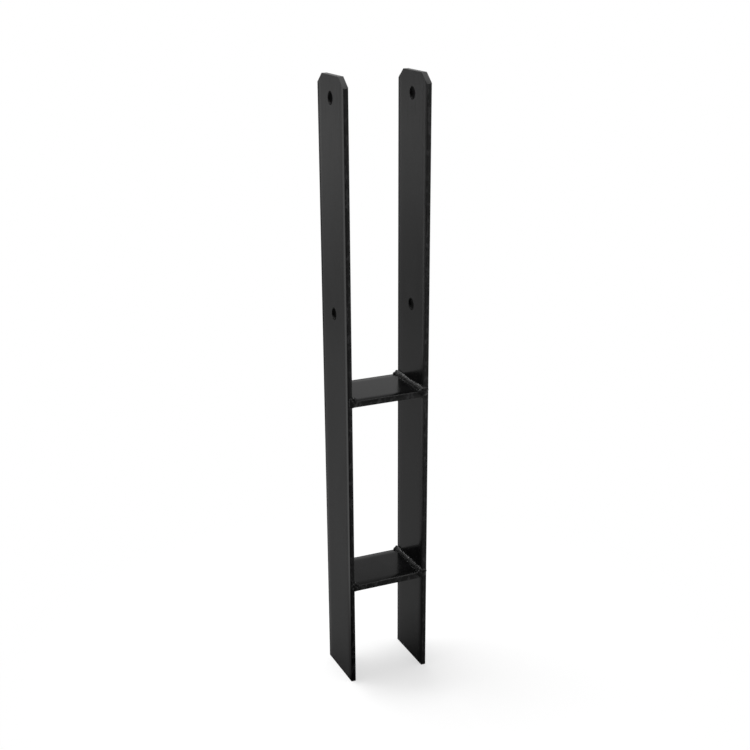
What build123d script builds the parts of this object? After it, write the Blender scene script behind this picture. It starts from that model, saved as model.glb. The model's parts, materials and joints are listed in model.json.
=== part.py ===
from build123d import *
from math import cos, radians, sin
import os

# H-shaped post anchor of welded flat bar, in millimetres.
# +Z is up, X runs along the crossbars, Y across the width of the flat bars.
# The origin lies on the ground, midway between the two feet.

# ---- driving dimensions ----
gap_width = 75.0            # clear distance between the legs
leg_length = 600.0
leg_width = 60.0
leg_thickness = 5.0
leg_edge_round = 0.8        # rolled corners along the legs

clip_width = 11.0           # clipped top corners of the legs, across the leg
clip_height = 9.0           # and down the leg

bar_width = 60.0            # crossbars, flush with the legs where the widths are equal
bar_thickness = 6.0
bar_edge_round = 0.6
upper_bar_top = 306.0       # height of the seat that the post stands on
lower_bar_top = 110.0

bolt_diameter = 11.0
bolt_rim = 0.5              # soft rim of each bolt hole
upper_bolt_drop = 19.5      # from the top of the legs to the upper bolt
bolt_spacing = 195.5        # from the upper bolt down to the lower one

top_weld_leg = 4.2          # reach of the top beads over leg and crossbar
under_weld_leg = 2.8        # reach of the beads below
under_weld_stop = 3.0       # from the ends of the lower beads to the flush edges
weld_groove = 0.4           # depth of the grooves between ripples
weld_ripples = 12           # ripples along one bead
ripple_rise = 0.7           # share of a ripple that climbs to its crest
crown_flats = 4             # flats across the bead's quarter round
wrap_radius = 5.3           # the bead's end, wrapped onto the flush edges
wrap_height = 2.2
wrap_shift = 0.5            # from the joint towards the crossbar
wrap_drop = 1.0             # from the crossbar's top
mound_flats = 3             # flats from the rim of the wrap to its top

# ---- sizes that follow ----
leg_inner_x = gap_width / 2
seam_width = min(leg_width, bar_width)      # over which leg and crossbar meet
upper_bolt_z = leg_length - upper_bolt_drop
lower_bolt_z = upper_bolt_z - bolt_spacing
rim_tolerance = 0.01
crossbar_tops = {"upper": upper_bar_top, "lower": lower_bar_top}
sides = {"left": -1, "right": 1}


def is_bolt_rim(edge):
    """True for the rims of the bolt holes."""
    return abs(edge.radius - bolt_diameter / 2) < rim_tolerance


def leg(side):
    """A flat bar on end: clipped top corners, two bolt holes, rolled long edges."""
    half = leg_width / 2
    shoulder = leg_length - clip_height
    outline = Polyline(
        (-half, 0),
        (half, 0),
        (half, shoulder),
        (half - clip_width, leg_length),
        (-half + clip_width, leg_length),
        (-half, shoulder),
        close=True,
    )
    blank = Plane.YZ.offset(leg_inner_x) * extrude(make_face(outline), leg_thickness)
    long_edges = blank.edges().filter_by(Axis.Z)
    blank = fillet(long_edges, leg_edge_round)
    for height in (upper_bolt_z, lower_bolt_z):
        drill = Cylinder(bolt_diameter / 2, 3 * leg_thickness, rotation=(0, 90, 0))
        blank -= Pos(leg_inner_x + leg_thickness / 2, 0, height) * drill
    blank = chamfer(blank.edges().filter_by(GeomType.CIRCLE).filter_by(is_bolt_rim), bolt_rim)
    return blank if side > 0 else mirror(blank, Plane.YZ)


def crossbar(top):
    """A flat bar between the legs. Its top and underside are divided at the toes of
    the welds, so that the bare seat between the welds is a face of its own."""
    end = leg_inner_x
    toe = leg_inner_x - top_weld_leg
    under_toe = leg_inner_x - under_weld_leg
    bottom = top - bar_thickness
    outline = Polyline(
        (-end, bottom),
        (-under_toe, bottom),
        (under_toe, bottom),
        (end, bottom),
        (end, top),
        (toe, top),
        (-toe, top),
        (-end, top),
        close=True,
    )
    section = Plane.XZ.offset(-bar_width / 2) * make_face(outline)
    blank = extrude(section, bar_width, clean=False)
    rolled = blank.edges().filter_by(Axis.X)
    return fillet(rolled, bar_edge_round)


def bead_section(y, reach):
    """The bead's quarter-round section as a fan of flats about the corner, at y."""
    rim = [(0.0, 0.0)]
    for step in range(crown_flats + 1):
        angle = radians(90 * step / crown_flats)
        rim.append((reach * cos(angle), reach * sin(angle)))
    return Pos(0, y, 0) * (Plane.XZ * make_face(Polyline(*rim, close=True)))


def fillet_bead(side, corner_z, upward, crest, length):
    """A fillet weld with stepped ripples, lofted from section to section: each ripple
    climbs slowly to its crest and drops back into the next groove."""
    pitch = length / weld_ripples
    groove = crest - weld_groove
    foot = -length / 2
    sections = [bead_section(foot, groove)]
    for ripple in range(weld_ripples):
        sections.append(bead_section(foot + ripple_rise * pitch, crest))
        sections.append(bead_section(foot + pitch, groove))
        foot += pitch
    bead = loft(sections, ruled=True)
    if side > 0:
        bead = mirror(bead, Plane.YZ)
    if upward < 0:
        bead = mirror(bead, Plane.XY)
    return Pos(side * leg_inner_x, 0, corner_z) * bead


def wrapped_end(side, corner_z, facing):
    """The low mound that a bead ends in, at the end of the seam."""
    outline = [(0, 0), (wrap_radius, 0)]
    for step in range(1, mound_flats):
        angle = radians(90 * step / mound_flats)
        outline.append((wrap_radius * cos(angle), wrap_height * sin(angle)))
    outline.append((0, wrap_height))
    mound = revolve(make_face(Polyline(*outline, close=True)), Axis.Y, 360)
    if facing < 0:
        mound = mirror(mound, Plane.XZ)
    centre_x = side * (leg_inner_x - wrap_shift)
    return Pos(centre_x, facing * seam_width / 2, corner_z - wrap_drop) * mound


def top_weld(side, top, carriers):
    """The bead on top of a crossbar's end, wrapped onto the edges front and back. Where
    leg and crossbar aren't flush, the wider one stands into the mounds and shapes them."""
    bead = fillet_bead(side, top, 1, top_weld_leg, seam_width)
    for facing in (-1, 1):
        mound = wrapped_end(side, top, facing)
        for carrier in carriers:
            mound -= carrier
        bead += mound
    return bead


def under_weld(side, top):
    """The smaller bead below a crossbar's end, which stops short of the edges."""
    length = seam_width - 2 * under_weld_stop
    return fillet_bead(side, top - bar_thickness, -1, under_weld_leg, length)


nodes = {}
for side_name, side in sides.items():
    nodes[side_name + "_leg"] = leg(side)
for level, top in crossbar_tops.items():
    nodes[level + "_crossbar"] = crossbar(top)
    for side_name, side in sides.items():
        place = level + "_" + side_name
        carriers = (nodes[side_name + "_leg"], nodes[level + "_crossbar"])
        nodes[place + "_top_weld"] = top_weld(side, top, carriers)
        nodes[place + "_under_weld"] = under_weld(side, top)

os.makedirs("parts", exist_ok=True)
for name, solid in nodes.items():
    export_step(solid, "parts/" + name + ".step")
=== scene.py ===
import json
import math

import bpy
import numpy as np
from mathutils import Matrix, Vector


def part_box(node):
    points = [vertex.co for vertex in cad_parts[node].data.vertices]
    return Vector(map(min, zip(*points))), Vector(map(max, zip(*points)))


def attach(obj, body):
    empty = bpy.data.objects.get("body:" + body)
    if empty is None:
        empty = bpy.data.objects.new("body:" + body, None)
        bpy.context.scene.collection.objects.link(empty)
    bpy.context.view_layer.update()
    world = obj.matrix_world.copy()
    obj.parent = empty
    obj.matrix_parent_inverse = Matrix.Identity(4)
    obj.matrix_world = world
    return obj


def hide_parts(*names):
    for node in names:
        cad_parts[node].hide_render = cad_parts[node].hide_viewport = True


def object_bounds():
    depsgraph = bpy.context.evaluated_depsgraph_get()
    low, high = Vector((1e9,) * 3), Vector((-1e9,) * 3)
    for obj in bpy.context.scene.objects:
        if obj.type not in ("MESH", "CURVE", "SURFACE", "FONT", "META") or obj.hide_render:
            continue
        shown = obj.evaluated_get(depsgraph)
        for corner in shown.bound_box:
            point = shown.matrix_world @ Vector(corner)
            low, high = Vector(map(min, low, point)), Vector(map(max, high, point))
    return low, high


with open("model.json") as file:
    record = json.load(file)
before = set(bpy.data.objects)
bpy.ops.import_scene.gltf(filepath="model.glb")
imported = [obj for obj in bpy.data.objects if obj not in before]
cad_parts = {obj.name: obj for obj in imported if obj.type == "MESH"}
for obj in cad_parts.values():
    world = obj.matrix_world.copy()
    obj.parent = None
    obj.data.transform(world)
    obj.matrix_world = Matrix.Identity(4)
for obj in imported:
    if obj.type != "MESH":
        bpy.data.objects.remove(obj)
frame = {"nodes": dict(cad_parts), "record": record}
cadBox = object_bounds()
print("frame loaded:", ", ".join(sorted(frame["nodes"])))

# both legs are alike and stand at the same distance from the middle
legLow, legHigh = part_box("left_leg")
halfWidth = (legHigh[1] - legLow[1]) / 2
legInnerX = -legHigh[0]
legMiddle = abs(legHigh[0] + legLow[0]) / 2


def onScene(obj):
    bpy.context.scene.collection.objects.link(obj)
    return obj


def gridFaces(rows, columns, closedRows=False, closedColumns=False):
    # quads of a rows x columns grid of points, joined round where asked
    i = np.arange(rows if closedRows else rows - 1)
    j = np.arange(columns if closedColumns else columns - 1)
    i, j = (a.ravel() for a in np.meshgrid(i, j, indexing="ij"))
    down = (i + 1) % rows
    right = (j + 1) % columns
    corners = (i * columns + j, down * columns + j, down * columns + right, i * columns + right)
    return np.stack(corners, axis=1)


def meshPiece(name, points, faces):
    mesh = bpy.data.meshes.new(name)
    mesh.from_pydata(points.reshape(-1, 3).tolist(), [], faces.tolist())
    mesh.update()
    return onScene(bpy.data.objects.new(name, mesh))


def shadeSmooth(mesh):
    mesh.polygons.foreach_set("use_smooth", np.ones(len(mesh.polygons), dtype=bool))


def applyModifiers(obj):
    # the evaluated mesh takes the place of the plain one
    depsgraph = bpy.context.evaluated_depsgraph_get()
    finished = bpy.data.meshes.new_from_object(obj.evaluated_get(depsgraph))
    obj.modifiers.clear()
    obj.data = finished
    shadeSmooth(finished)


class Sock:
    # wraps an output socket, so that + - * and abs() on it add Math nodes
    def __init__(self, tree, socket):
        self.tree = tree
        self.socket = socket

    def math(self, operation, *others):
        return addNode(self.tree, "ShaderNodeMath", {"operation": operation}, [self, *others])

    def __add__(self, other):
        return self.math("ADD", other)

    def __sub__(self, other):
        return self.math("SUBTRACT", other)

    def __rsub__(self, other):
        return addNode(self.tree, "ShaderNodeMath", {"operation": "SUBTRACT"}, [other, self])

    def __mul__(self, other):
        return self.math("MULTIPLY", other)

    __radd__ = __add__
    __rmul__ = __mul__

    def __abs__(self):
        return self.math("ABSOLUTE")

    def ramp(self, low, high, toLow=0.0, toHigh=1.0):
        # smooth step from toLow to toHigh while the value goes from low to high
        settings = {"interpolation_type": "SMOOTHSTEP"}
        return addNode(self.tree, "ShaderNodeMapRange", settings, [self, low, high, toLow, toHigh])


def addNode(tree, kind, settings, inputs=(), output=0):
    # settings first, then values or links, by place in a list or by name in a dictionary
    node = tree.nodes.new(kind)
    for key, value in settings.items():
        setattr(node, key, value)
    pairs = inputs.items() if isinstance(inputs, dict) else enumerate(inputs)
    for key, value in pairs:
        if isinstance(value, Sock):
            tree.links.new(value.socket, node.inputs[key])
        else:
            node.inputs[key].default_value = value
    return Sock(tree, node.outputs[output]) if len(node.outputs) else None


def newMaterial(name):
    material = bpy.data.materials.new(name)
    material.use_nodes = True
    material.node_tree.nodes.clear()
    return material, material.node_tree


def closeMaterial(tree, shader):
    addNode(tree, "ShaderNodeOutputMaterial", {}, {"Surface": shader})


def objectPlace(tree):
    return addNode(tree, "ShaderNodeTexCoord", {}, output=3)


def coordinate(tree, place, axis):
    return addNode(tree, "ShaderNodeSeparateXYZ", {}, [place], output=axis)


def facing(tree, direction, side):
    # 1 where a direction points to that side, 0 where it is square to it
    settings = {"operation": "DOT_PRODUCT"}
    return addNode(tree, "ShaderNodeVectorMath", settings, [direction, side], output=1)


def mixColours(tree, factor, first, second):
    inputs = {0: factor, 6: first, 7: second}
    return addNode(tree, "ShaderNodeMix", {"data_type": "RGBA"}, inputs, output=2)


def noise(tree, place, scale, detail, roughness, stretch=None):
    # scale in features per metre, stretch as a factor on it for each axis
    if stretch:
        place = addNode(tree, "ShaderNodeMapping", {}, {"Vector": place, "Scale": stretch})
    inputs = {"Vector": place, "Scale": scale, "Detail": detail, "Roughness": roughness}
    return addNode(tree, "ShaderNodeTexNoise", {}, inputs)


def dress(obj, material):
    obj.data.materials.clear()
    obj.data.materials.append(material)


# the black coating
coat = {
    "deep": (0.0020, 0.0020, 0.0021, 1),    # in its darkest clouds
    "worn": (0.0050, 0.0050, 0.0052, 1),    # and where it is thin
    "roughFrom": (0.30, 0.70),              # noise over which glossy turns to dull
}


def coatShader(tree, base, rough, height, specular):
    # height in metres
    inputs = {"Strength": 1.0, "Distance": 1.0, "Height": height}
    bump = addNode(tree, "ShaderNodeBump", {}, inputs)
    inputs = {"Base Color": base, "Roughness": rough, "Normal": bump}
    inputs["Specular IOR Level"] = specular
    closeMaterial(tree, addNode(tree, "ShaderNodeBsdfPrincipled", {}, inputs))


# a pattern is the scale, detail, roughness and stretch of its noise
barFinish = {
    "edgeGrey": (0.048, 0.048, 0.049, 1),   # flecks on the rough cut edges
    "clouds": (22, 4, 0.55, (1, 1, 0.45)),
    "streaks": (300, 2, 0.5, (1, 1, 0.12)),
    "peel": (900, 2, 0.5),                  # fine orange peel
    "pits": (160, 4, 0.6, (1.6, 1.6, 0.8)),  # in the cut edges
    "cloudFrom": (0.35, 0.70),              # noise over which deep turns to worn
    "fleckFrom": (0.50, 0.66),
    "fleckShare": 0.9,
    "rough": (0.13, 0.20),                  # from the glossiest clouds to the dullest
    "streakFrom": (0.45, 0.70),
    "streakRough": 0.05,
    "edgeRough": 0.14,                      # more on the cut edges
    "insideRough": 0.45,                    # more on the shoulders inside the frame
    "insideSeam": 0.0005,                   # either side of the middle of the thickness
    "edgeSeam": (0.00016, 0.00004),         # the cut edge begins this far inside the width
    "shoulder": 0.0110,                     # over which the wide faces fall away
    "rolled": 0.0048,                       # and how steeply
    "crown": 0.0050,                        # the same from the middle of the cut edges
    "crowned": 0.0005,
    "peelDepth": 0.000014,
    "pitDepth": 0.00015,
    "specular": 0.5,
}


def barMaterial(name, nodeName, axis):
    # satin black over hot-rolled flat bar, with axis across its thickness. The height falls
    # by rolled times the square of a smooth step over the shoulders, and by crowned times
    # the square of one from the middle of the cut edges outwards; peel and pits are added
    low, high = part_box(nodeName)
    half = (high[1] - low[1]) / 2
    middle = abs(high[axis] + low[axis]) / 2
    material, tree = newMaterial(name)
    place = objectPlace(tree)
    across = abs(coordinate(tree, place, 1))
    offMiddle = abs(coordinate(tree, place, axis)) - middle
    edgeOuter, edgeInner = barFinish["edgeSeam"]
    onEdge = across.ramp(half - edgeOuter, half - edgeInner)
    shoulder = across.ramp(half - barFinish["shoulder"], half + barFinish["shoulder"])
    seam = barFinish["insideSeam"]
    inside = offMiddle.ramp(-seam, seam, 1.0, 0.0)      # inner faces, and undersides of the bars
    crown = abs(offMiddle).ramp(0.0, barFinish["crown"]) * onEdge
    clouds = noise(tree, place, *barFinish["clouds"])
    streaks = noise(tree, place, *barFinish["streaks"])
    peel = noise(tree, place, *barFinish["peel"])
    pits = noise(tree, place, *barFinish["pits"])

    flecks = pits.ramp(*barFinish["fleckFrom"]) * onEdge
    base = mixColours(tree, clouds.ramp(*barFinish["cloudFrom"]), coat["deep"], coat["worn"])
    base = mixColours(tree, flecks * barFinish["fleckShare"], base, barFinish["edgeGrey"])
    rough = clouds.ramp(*coat["roughFrom"], *barFinish["rough"])
    rough = rough + streaks.ramp(*barFinish["streakFrom"], 0, barFinish["streakRough"])
    rough = rough + onEdge * barFinish["edgeRough"]
    rough = rough + shoulder * inside * barFinish["insideRough"]
    height = shoulder * shoulder * -barFinish["rolled"] + crown * crown * -barFinish["crowned"]
    height = height + peel * barFinish["peelDepth"] + pits * onEdge * barFinish["pitDepth"]
    coatShader(tree, base, rough, height, barFinish["specular"])
    return material


grainFinishes = {
    "weld": {                               # dull over the ripples of the beads
        "clouds": (90, 2, 0.5),
        "grain": (420, 3, 0.6),
        "grainDepth": 0.00036,
        "cloudFrom": (0.30, 0.70),
        "rough": (0.36, 0.60),
        "specular": 0.44,
    },
    "hole": {                               # duller still on the walls of the bolt holes
        "clouds": (500, 3, 0.6),
        "grain": (500, 3, 0.6),
        "grainDepth": 0.0002,
        "cloudFrom": (0.35, 0.65),
        "rough": (0.50, 0.70),
        "specular": 0.12,
    },
}


def grainMaterial(name, finish):
    # clouds from deep to worn, and an even grain
    material, tree = newMaterial(name)
    place = objectPlace(tree)
    clouds = noise(tree, place, *finish["clouds"])
    base = mixColours(tree, clouds.ramp(*finish["cloudFrom"]), coat["deep"], coat["worn"])
    rough = clouds.ramp(*coat["roughFrom"], *finish["rough"])
    height = noise(tree, place, *finish["grain"]) * finish["grainDepth"]
    coatShader(tree, base, rough, height, finish["specular"])
    return material


weldBlack = grainMaterial("black coated weld", grainFinishes["weld"])
holeBlack = grainMaterial("coating in the bolt holes", grainFinishes["hole"])
legBlack = barMaterial("black coated legs", "left_leg", 0)
for nodeName in ("left_leg", "right_leg"):
    dress(frame["nodes"][nodeName], legBlack)
for nodeName in ("upper_crossbar", "lower_crossbar"):
    dress(frame["nodes"][nodeName], barMaterial("black coated " + nodeName, nodeName, 2))
print("bars coated")


weld = {
    "spacing": 0.0027,          # from one puddle to the next
    "endGap": 0.0015,           # the outermost puddles lie this far inside the ends
    "topReach": 0.0040,         # of the top beads on leg and crossbar
    "lengthways": 0.0019,       # half a puddle, along the bead
    "section": (0.78, 0.36, 0.38),  # half a puddle across and outward, and its place off
                                    # the corner, as shares of the reach
    "grid": (14, 20),
    "lean": 0.35,               # puddles trail back in crescents
    "wander": 0.00028,          # an unsteady hand
    "uneven": 0.06,             # share by which puddles differ
    "swell": 0.15,              # share by which the bead grows thick and thin
    "waves": ((0.6, 4.3), (0.4, 11)),   # share and pace of the two waves in it
    "frontKnob": 0.42,          # extra thickness where the bead was stopped
    "frontPlace": (-0.80, 0.13),    # and its place and width, in half bead lengths
    "backKnob": (0.05, 0.40),   # and where it was struck, between these
    "backPlace": (0.88, 0.12),
    "voxel": 0.00030,
    "settle": (0.5, 1),         # smoothing: its share, and how often
    "wrapSize": (0.0056, 0.0020, 0.0050),
    "wrapUneven": 0.10,
    "backShare": 0.72,          # the far end is wrapped more lightly
    "wrapLumps": [              # place along the crossbar, out, up; then three size shares
        (0.0004, 0.0002, -0.0016, 0.74, 1.00, 0.82),
        (-0.0016, 0.0000, 0.0012, 0.56, 0.95, 0.62),
        (0.0030, 0.0002, -0.0002, 0.50, 0.80, 0.60),
        (0.0012, 0.0001, 0.0022, 0.44, 0.75, 0.42),
    ],
    "firstSeed": 12,
}


def puddles(centres, sizes, axes):
    # ellipsoids: centre + size * (cos a sin b, sin a sin b, cos b) along the three axes,
    # sheared along the bead by lean times the height squared, one for each centre. The
    # hair's breadth left open at their poles closes when they are melted together
    rows, columns = weld["grid"]
    pole = 0.001
    b = np.linspace(pole, math.pi - pole, rows)[:, None]
    a = np.linspace(0, 2 * math.pi, columns, endpoint=False)[None, :]
    unit = np.broadcast_arrays(np.cos(a) * np.sin(b), np.sin(a) * np.sin(b), np.cos(b))
    unit = np.stack(unit, -1)
    offset = unit[None] * sizes[:, None, None, :]
    offset[..., 1] += weld["lean"] * (unit[None, ..., 2] ** 2) * sizes[:, None, None, 1]
    points = centres[:, None, None, :] + offset @ axes
    quads = gridFaces(rows, columns, closedColumns=True)
    faces = np.arange(len(centres))[:, None, None] * rows * columns + quads[None]
    return points.reshape(-1, 3), faces.reshape(-1, 4)


def bell(along, place, width):
    return np.exp(-((along - place) / width) ** 2)


def beadRow(corner, side, up, halfLength, reach, rng):
    # puddles in a line through the corner; each is broad across it and shallow outward,
    # and its thickness is 1 + two slow sines + a bell curve at each end + a little chance
    count = int(2 * halfLength / weld["spacing"]) + 1
    along = np.linspace(-1, 1, count)
    phases = rng.uniform(0, 2 * math.pi, 2)
    waves = [share * np.sin(pace * along + phase)
             for (share, pace), phase in zip(weld["waves"], phases)]
    thick = 1 + weld["swell"] * sum(waves)
    thick += weld["frontKnob"] * bell(along, *weld["frontPlace"])
    thick += rng.uniform(*weld["backKnob"]) * bell(along, *weld["backPlace"])
    thick += weld["uneven"] * rng.standard_normal(count) - weld["frontKnob"] / 3
    across, shallow, offset = np.array(weld["section"]) * reach
    drift = weld["wander"] * rng.standard_normal((count, 3))
    outward = np.array([-side, 0.0, up]) / math.sqrt(2)
    centres = corner + outward * offset + drift
    centres[:, 1] = along * halfLength
    sizes = np.stack([across * thick, np.full(count, weld["lengthways"]), shallow * thick], 1)
    axes = np.array([[side / math.sqrt(2), 0, up / math.sqrt(2)], [0, 1, 0], outward])
    return puddles(centres, sizes, axes)


def wrappedEnd(corner, side, end, share, rng):
    # a few flat lumps on the flush edges of leg and crossbar
    lumps = np.array(weld["wrapLumps"])
    lumps = lumps * (1 + weld["wrapUneven"] * rng.standard_normal(lumps.shape))
    lumps[:, 3:] *= share
    edge = np.array([corner[0], end * halfWidth, corner[2]])
    centres = edge + lumps[:, :3] * np.array([-side, end, 1.0])
    return puddles(centres, lumps[:, 3:] * np.array(weld["wrapSize"]), np.eye(3))


def merged(first, second):
    points, faces = first
    morePoints, moreFaces = second
    return np.vstack([points, morePoints]), np.vstack([faces, moreFaces + len(points)])


def beadPiece(nodeName, side, up, wrapped, seed):
    # a row of puddles and its wrapped ends, melted into one closed skin
    low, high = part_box(nodeName)
    barLow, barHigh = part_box(nodeName.split("_")[0] + "_crossbar")
    corner = np.array([side * legInnerX, 0.0, barHigh[2] if up > 0 else barLow[2]])
    toe = high[0] if side < 0 else low[0]
    reach = weld["topReach"] if wrapped else abs(toe - side * legInnerX)
    halfLength = (halfWidth if wrapped else high[1]) - weld["endGap"]
    rng = np.random.default_rng(seed)
    skin = beadRow(corner, side, up, halfLength, reach, rng)
    if wrapped:
        for end, share in ((-1, 1.0), (1, weld["backShare"])):
            skin = merged(skin, wrappedEnd(corner, side, end, share, rng))
    bead = meshPiece(nodeName.replace("weld", "bead"), *skin)
    remesh = bead.modifiers.new("melt", "REMESH")
    remesh.mode = "VOXEL"
    remesh.voxel_size = weld["voxel"]
    smooth = bead.modifiers.new("settle", "SMOOTH")
    smooth.factor, smooth.iterations = weld["settle"]
    applyModifiers(bead)
    dress(bead, weldBlack)
    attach(bead, "root")
    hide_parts(nodeName)


seed = weld["firstSeed"]
for level in ("upper", "lower"):
    for side, sideName in ((-1, "left"), (1, "right")):
        for up, where in ((1, "top"), (-1, "under")):
            beadPiece(f"{level}_{sideName}_{where}_weld", side, up, where == "top", seed)
            seed += 1
print("weld beads laid")


# coating built up in the bolt holes
rim = {
    "build": 0.0005,        # on the wall of the hole
    "lipReach": 0.0006,     # soft lip out over the rim, along the face
    "lipDepth": 0.0001,     # and into the hole
    "lipSteps": 6,
    "bury": 0.0004,         # how far its back lies in the steel
    "proud": 0.00002,       # lip above the face
    "steps": 64,
}


def coatedRim(name, mount, legName):
    # a profile in (radius, depth) carried round the hole: a wall with a quarter-round lip at
    # both faces, closed behind through the steel
    low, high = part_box(legName)
    hole = mount["dims"]["r_mm"] / 1000
    wall = hole - rim["build"]
    back = hole + rim["bury"]
    half = (high[0] - low[0]) / 2 + rim["proud"]
    deep = half - rim["lipDepth"] - rim["bury"]
    lip = np.linspace(0, math.pi / 2, rim["lipSteps"])
    lipRadius = wall + rim["lipReach"] * (1 - np.cos(lip))
    lipDepth = half - rim["lipDepth"] * (1 - np.sin(lip))
    radius = np.concatenate([lipRadius, [back, back], lipRadius[::-1]])
    depth = np.concatenate([lipDepth, [deep, -deep], -lipDepth[::-1]])
    turn = np.linspace(0, 2 * math.pi, rim["steps"], endpoint=False)[:, None]
    ring = np.broadcast_arrays(depth[None], radius * np.cos(turn), radius * np.sin(turn))
    centre = np.array([(low[0] + high[0]) / 2, 0.0, mount["pos_m"][2]])
    faces = gridFaces(rim["steps"], len(radius), closedRows=True, closedColumns=True)
    piece = meshPiece(name, np.stack(ring, -1) + centre, faces)
    shadeSmooth(piece.data)
    dress(piece, holeBlack)
    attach(piece, "root")


for mount in frame["record"]["mounts"]:
    if mount["kind"] == "bore":
        for legName in ("left_leg", "right_leg"):
            coatedRim(mount["name"] + "_" + legName + "_coat", mount, legName)
print("bolt holes coated")


# the stage: pairs are the values over which a field starts and is full
flagSide = (-0.45, -0.85, 0.28)     # a black flag stands on this side
floorLook = {
    "size": 20.0,
    "below": 0.0002,            # under the feet
    "seen": (0.93, 0.93, 0.93, 1),
    "paintedShadeUnderWork": (0.12, 0.12, 0.12, 1),      # in reflections, painted shade: under the work,
    "bounced": (0.17, 0.17, 0.17, 1),       # around it,
    "farBounced": (0.80, 0.80, 0.80, 1),    # and far off
    "around": (0.02, 0.11),
    "far": (1.3, 4.6),
    "ahead": (0.66, 0.88),      # painted shade: the floor is darkened towards the flag
    "aheadShare": 0.08,
    "behindSide": (0.25, 0.97, 0.0),    # and less deeply behind, to the right
    "behind": (0.86, 0.97),
    "behindFrom": (0.30, 0.90),
    "behindShare": 0.35,
    "aside": (0.48, 0.80),      # painted glow: patches of floor to both sides glow in reflections, by the share of x
    "asideFrom": (0.02, 0.30),
    "paintedGlowStrength": 0.8,
    "fade": (0.03, 0.40),       # turns plain white for the camera
    "fadeNear": 0.60,           # of which this share at the feet
}


def floorWithPaintedShade(tree, place, distance):
    # what the work reflects, with painted shade: darkest under the work, brighter with distance,
    # and darkened in two directions
    # painted shade: the floor the work reflects is darkened under and around it
    around = distance.ramp(*floorLook["around"])
    colour = mixColours(tree, around, floorLook["paintedShadeUnderWork"], floorLook["bounced"])
    farther = distance.ramp(*floorLook["far"])
    colour = mixColours(tree, farther, colour, floorLook["farBounced"])
    toward = addNode(tree, "ShaderNodeVectorMath", {"operation": "NORMALIZE"}, [place])
    # painted shade in reflections: darker towards the flag and behind to the right
    ahead = facing(tree, toward, flagSide)
    behind = facing(tree, toward, floorLook["behindSide"]).ramp(*floorLook["behind"])
    behind = behind * distance.ramp(*floorLook["behindFrom"])
    light = ahead.ramp(*floorLook["ahead"], 1.0, floorLook["aheadShare"])
    light = light * (1 - (1 - floorLook["behindShare"]) * behind)
    inputs = {"Vector": colour, "Scale": light}
    return addNode(tree, "ShaderNodeVectorMath", {"operation": "SCALE"}, inputs)


def buildFloor():
    half = floorLook["size"] / 2
    corners = np.array([[-half, -half, 0], [half, -half, 0], [half, half, 0], [-half, half, 0]])
    floor = meshPiece("floor", corners, np.array([[0, 1, 2, 3]]))
    floor.data.transform(Matrix.Translation((0, 0, cadBox[0][2] - floorLook["below"])))
    material, tree = newMaterial("pale floor")
    seen = addNode(tree, "ShaderNodeLightPath", {}, output=0)
    place = objectPlace(tree)
    distance = addNode(tree, "ShaderNodeVectorMath", {"operation": "LENGTH"}, [place], output=1)
    colour = mixColours(tree, seen, floorWithPaintedShade(tree, place, distance), floorLook["seen"])
    beside = abs(coordinate(tree, place, 0)) - legMiddle
    # painted glow: floor patches beside the legs glow, for reflections only
    paintedGlow = beside.math("DIVIDE", distance).ramp(*floorLook["aside"])
    paintedGlow = paintedGlow * distance.ramp(*floorLook["asideFrom"])
    inputs = {"Base Color": colour, "Roughness": 1.0, "Specular IOR Level": 0.0}
    inputs["Emission Color"] = paintedGlow * (1 - seen)
    inputs["Emission Strength"] = floorLook["paintedGlowStrength"]
    surface = addNode(tree, "ShaderNodeBsdfPrincipled", {}, inputs)
    white = addNode(tree, "ShaderNodeEmission", {}, {"Color": (1, 1, 1, 1), "Strength": 1.0})
    whiter = seen * distance.ramp(*floorLook["fade"], floorLook["fadeNear"], 1.0)
    closeMaterial(tree, addNode(tree, "ShaderNodeMixShader", {}, [whiter, surface, white]))
    dress(floor, material)


roomLook = {
    "seen": 1.0,
    "light": 0.38,
    "flag": (0.70, 0.93),
    "flagLight": 0.06,
    "high": (0.30, 0.52),       # the room is dimmer higher up
    "highShare": 0.55,
    "backSide": (-0.364, 0.845, 0.392),     # another flag behind, to the left
    "back": (0.88, 0.97),
    "backShare": 0.2,
    "topSide": (0.36, -0.21, 0.91),     # a bright panel high in front
    "top": (0.88, 0.95),
    "topLight": 1.3,
}


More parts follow.
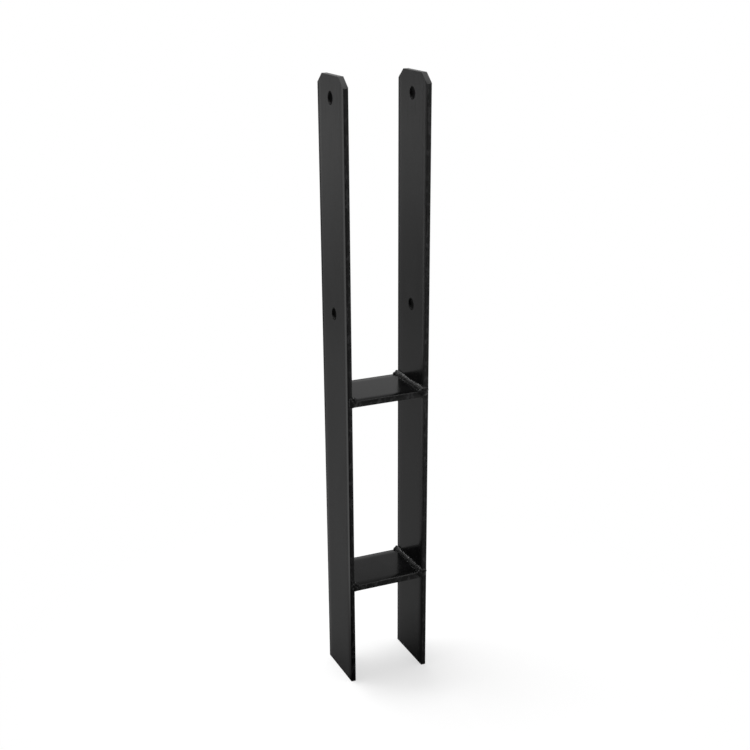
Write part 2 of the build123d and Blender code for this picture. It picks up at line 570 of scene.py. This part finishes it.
def buildWorld():
    # plain white to the camera; in reflections grey, with two flags and a panel
    world = bpy.data.worlds.new("studio")
    world.use_nodes = True
    tree = world.node_tree
    tree.nodes.clear()
    seen = addNode(tree, "ShaderNodeLightPath", {}, output=0)
    direction = addNode(tree, "ShaderNodeTexCoord", {}, output=0)
    flag = facing(tree, direction, flagSide)
    back = facing(tree, direction, roomLook["backSide"])
    top = facing(tree, direction, roomLook["topSide"])
    height = coordinate(tree, direction, 2)
    light = flag.ramp(*roomLook["flag"], roomLook["light"], roomLook["flagLight"])
    light = light * height.ramp(*roomLook["high"], 1.0, roomLook["highShare"])
    light = light * back.ramp(*roomLook["back"], 1.0, roomLook["backShare"])
    light = light + top.ramp(*roomLook["top"], 0.0, roomLook["topLight"])
    inputs = {"Color": (1, 1, 1, 1), "Strength": seen * roomLook["seen"] + (1 - seen) * light}
    background = addNode(tree, "ShaderNodeBackground", {}, inputs)
    addNode(tree, "ShaderNodeOutputWorld", {}, {"Surface": background})
    bpy.context.scene.world = world


softboxes = {       # place, target, size and power
    "overhead": ((-0.4, 0.7, 2.6), (0, 0, 0.1), (1.5, 1.4), 72),
    "left side": ((-2.2, -0.2, 1.3), (0, 0, 0.35), (1.4, 2.0), 8),
}


def buildSoftbox(name, place, target, size, power):
    lamp = bpy.data.lights.new(name, "AREA")
    lamp.shape = "RECTANGLE"
    lamp.size, lamp.size_y = size
    lamp.energy = power
    obj = onScene(bpy.data.objects.new(name, lamp))
    obj.location = place
    aim = Vector(target) - Vector(place)
    obj.rotation_euler = aim.to_track_quat("-Z", "Y").to_euler()


camera = {              # angles in degrees, lens and sensor in millimetres
    "azimuth": -23.331,
    "elevation": 23.097,
    "roll": -0.58,
    "distance": 1.2810,
    "target": (-0.01595, 0.0, 0.2138),
    "lens": 61.65,
    "sensor": 36,
    "shift": (0.0178, 0.1361),
    "clipEnd": 100,
}


def buildCamera():
    # looks at its target from the azimuth and elevation, rolled about its own axis
    azimuth, elevation, roll = (math.radians(camera[k]) for k in ("azimuth", "elevation", "roll"))
    back = np.array([math.sin(azimuth) * math.cos(elevation),
                     -math.cos(azimuth) * math.cos(elevation), math.sin(elevation)])
    lens = bpy.data.cameras.new("camera")
    lens.lens = camera["lens"]
    lens.sensor_width = camera["sensor"]
    lens.shift_x, lens.shift_y = camera["shift"]
    lens.clip_end = camera["clipEnd"]
    obj = onScene(bpy.data.objects.new("camera", lens))
    obj.location = np.array(camera["target"]) + back * camera["distance"]
    turn = Vector(-back).to_track_quat("-Z", "Y").to_matrix()
    spin = Matrix.Rotation(roll, 3, "Z")
    obj.rotation_euler = (turn @ spin).to_euler()
    bpy.context.scene.camera = obj


buildFloor()
buildWorld()
for name, settings in softboxes.items():
    buildSoftbox(name, *settings)
buildCamera()
bpy.context.scene.view_settings.view_transform = "Standard"
print("stage set")
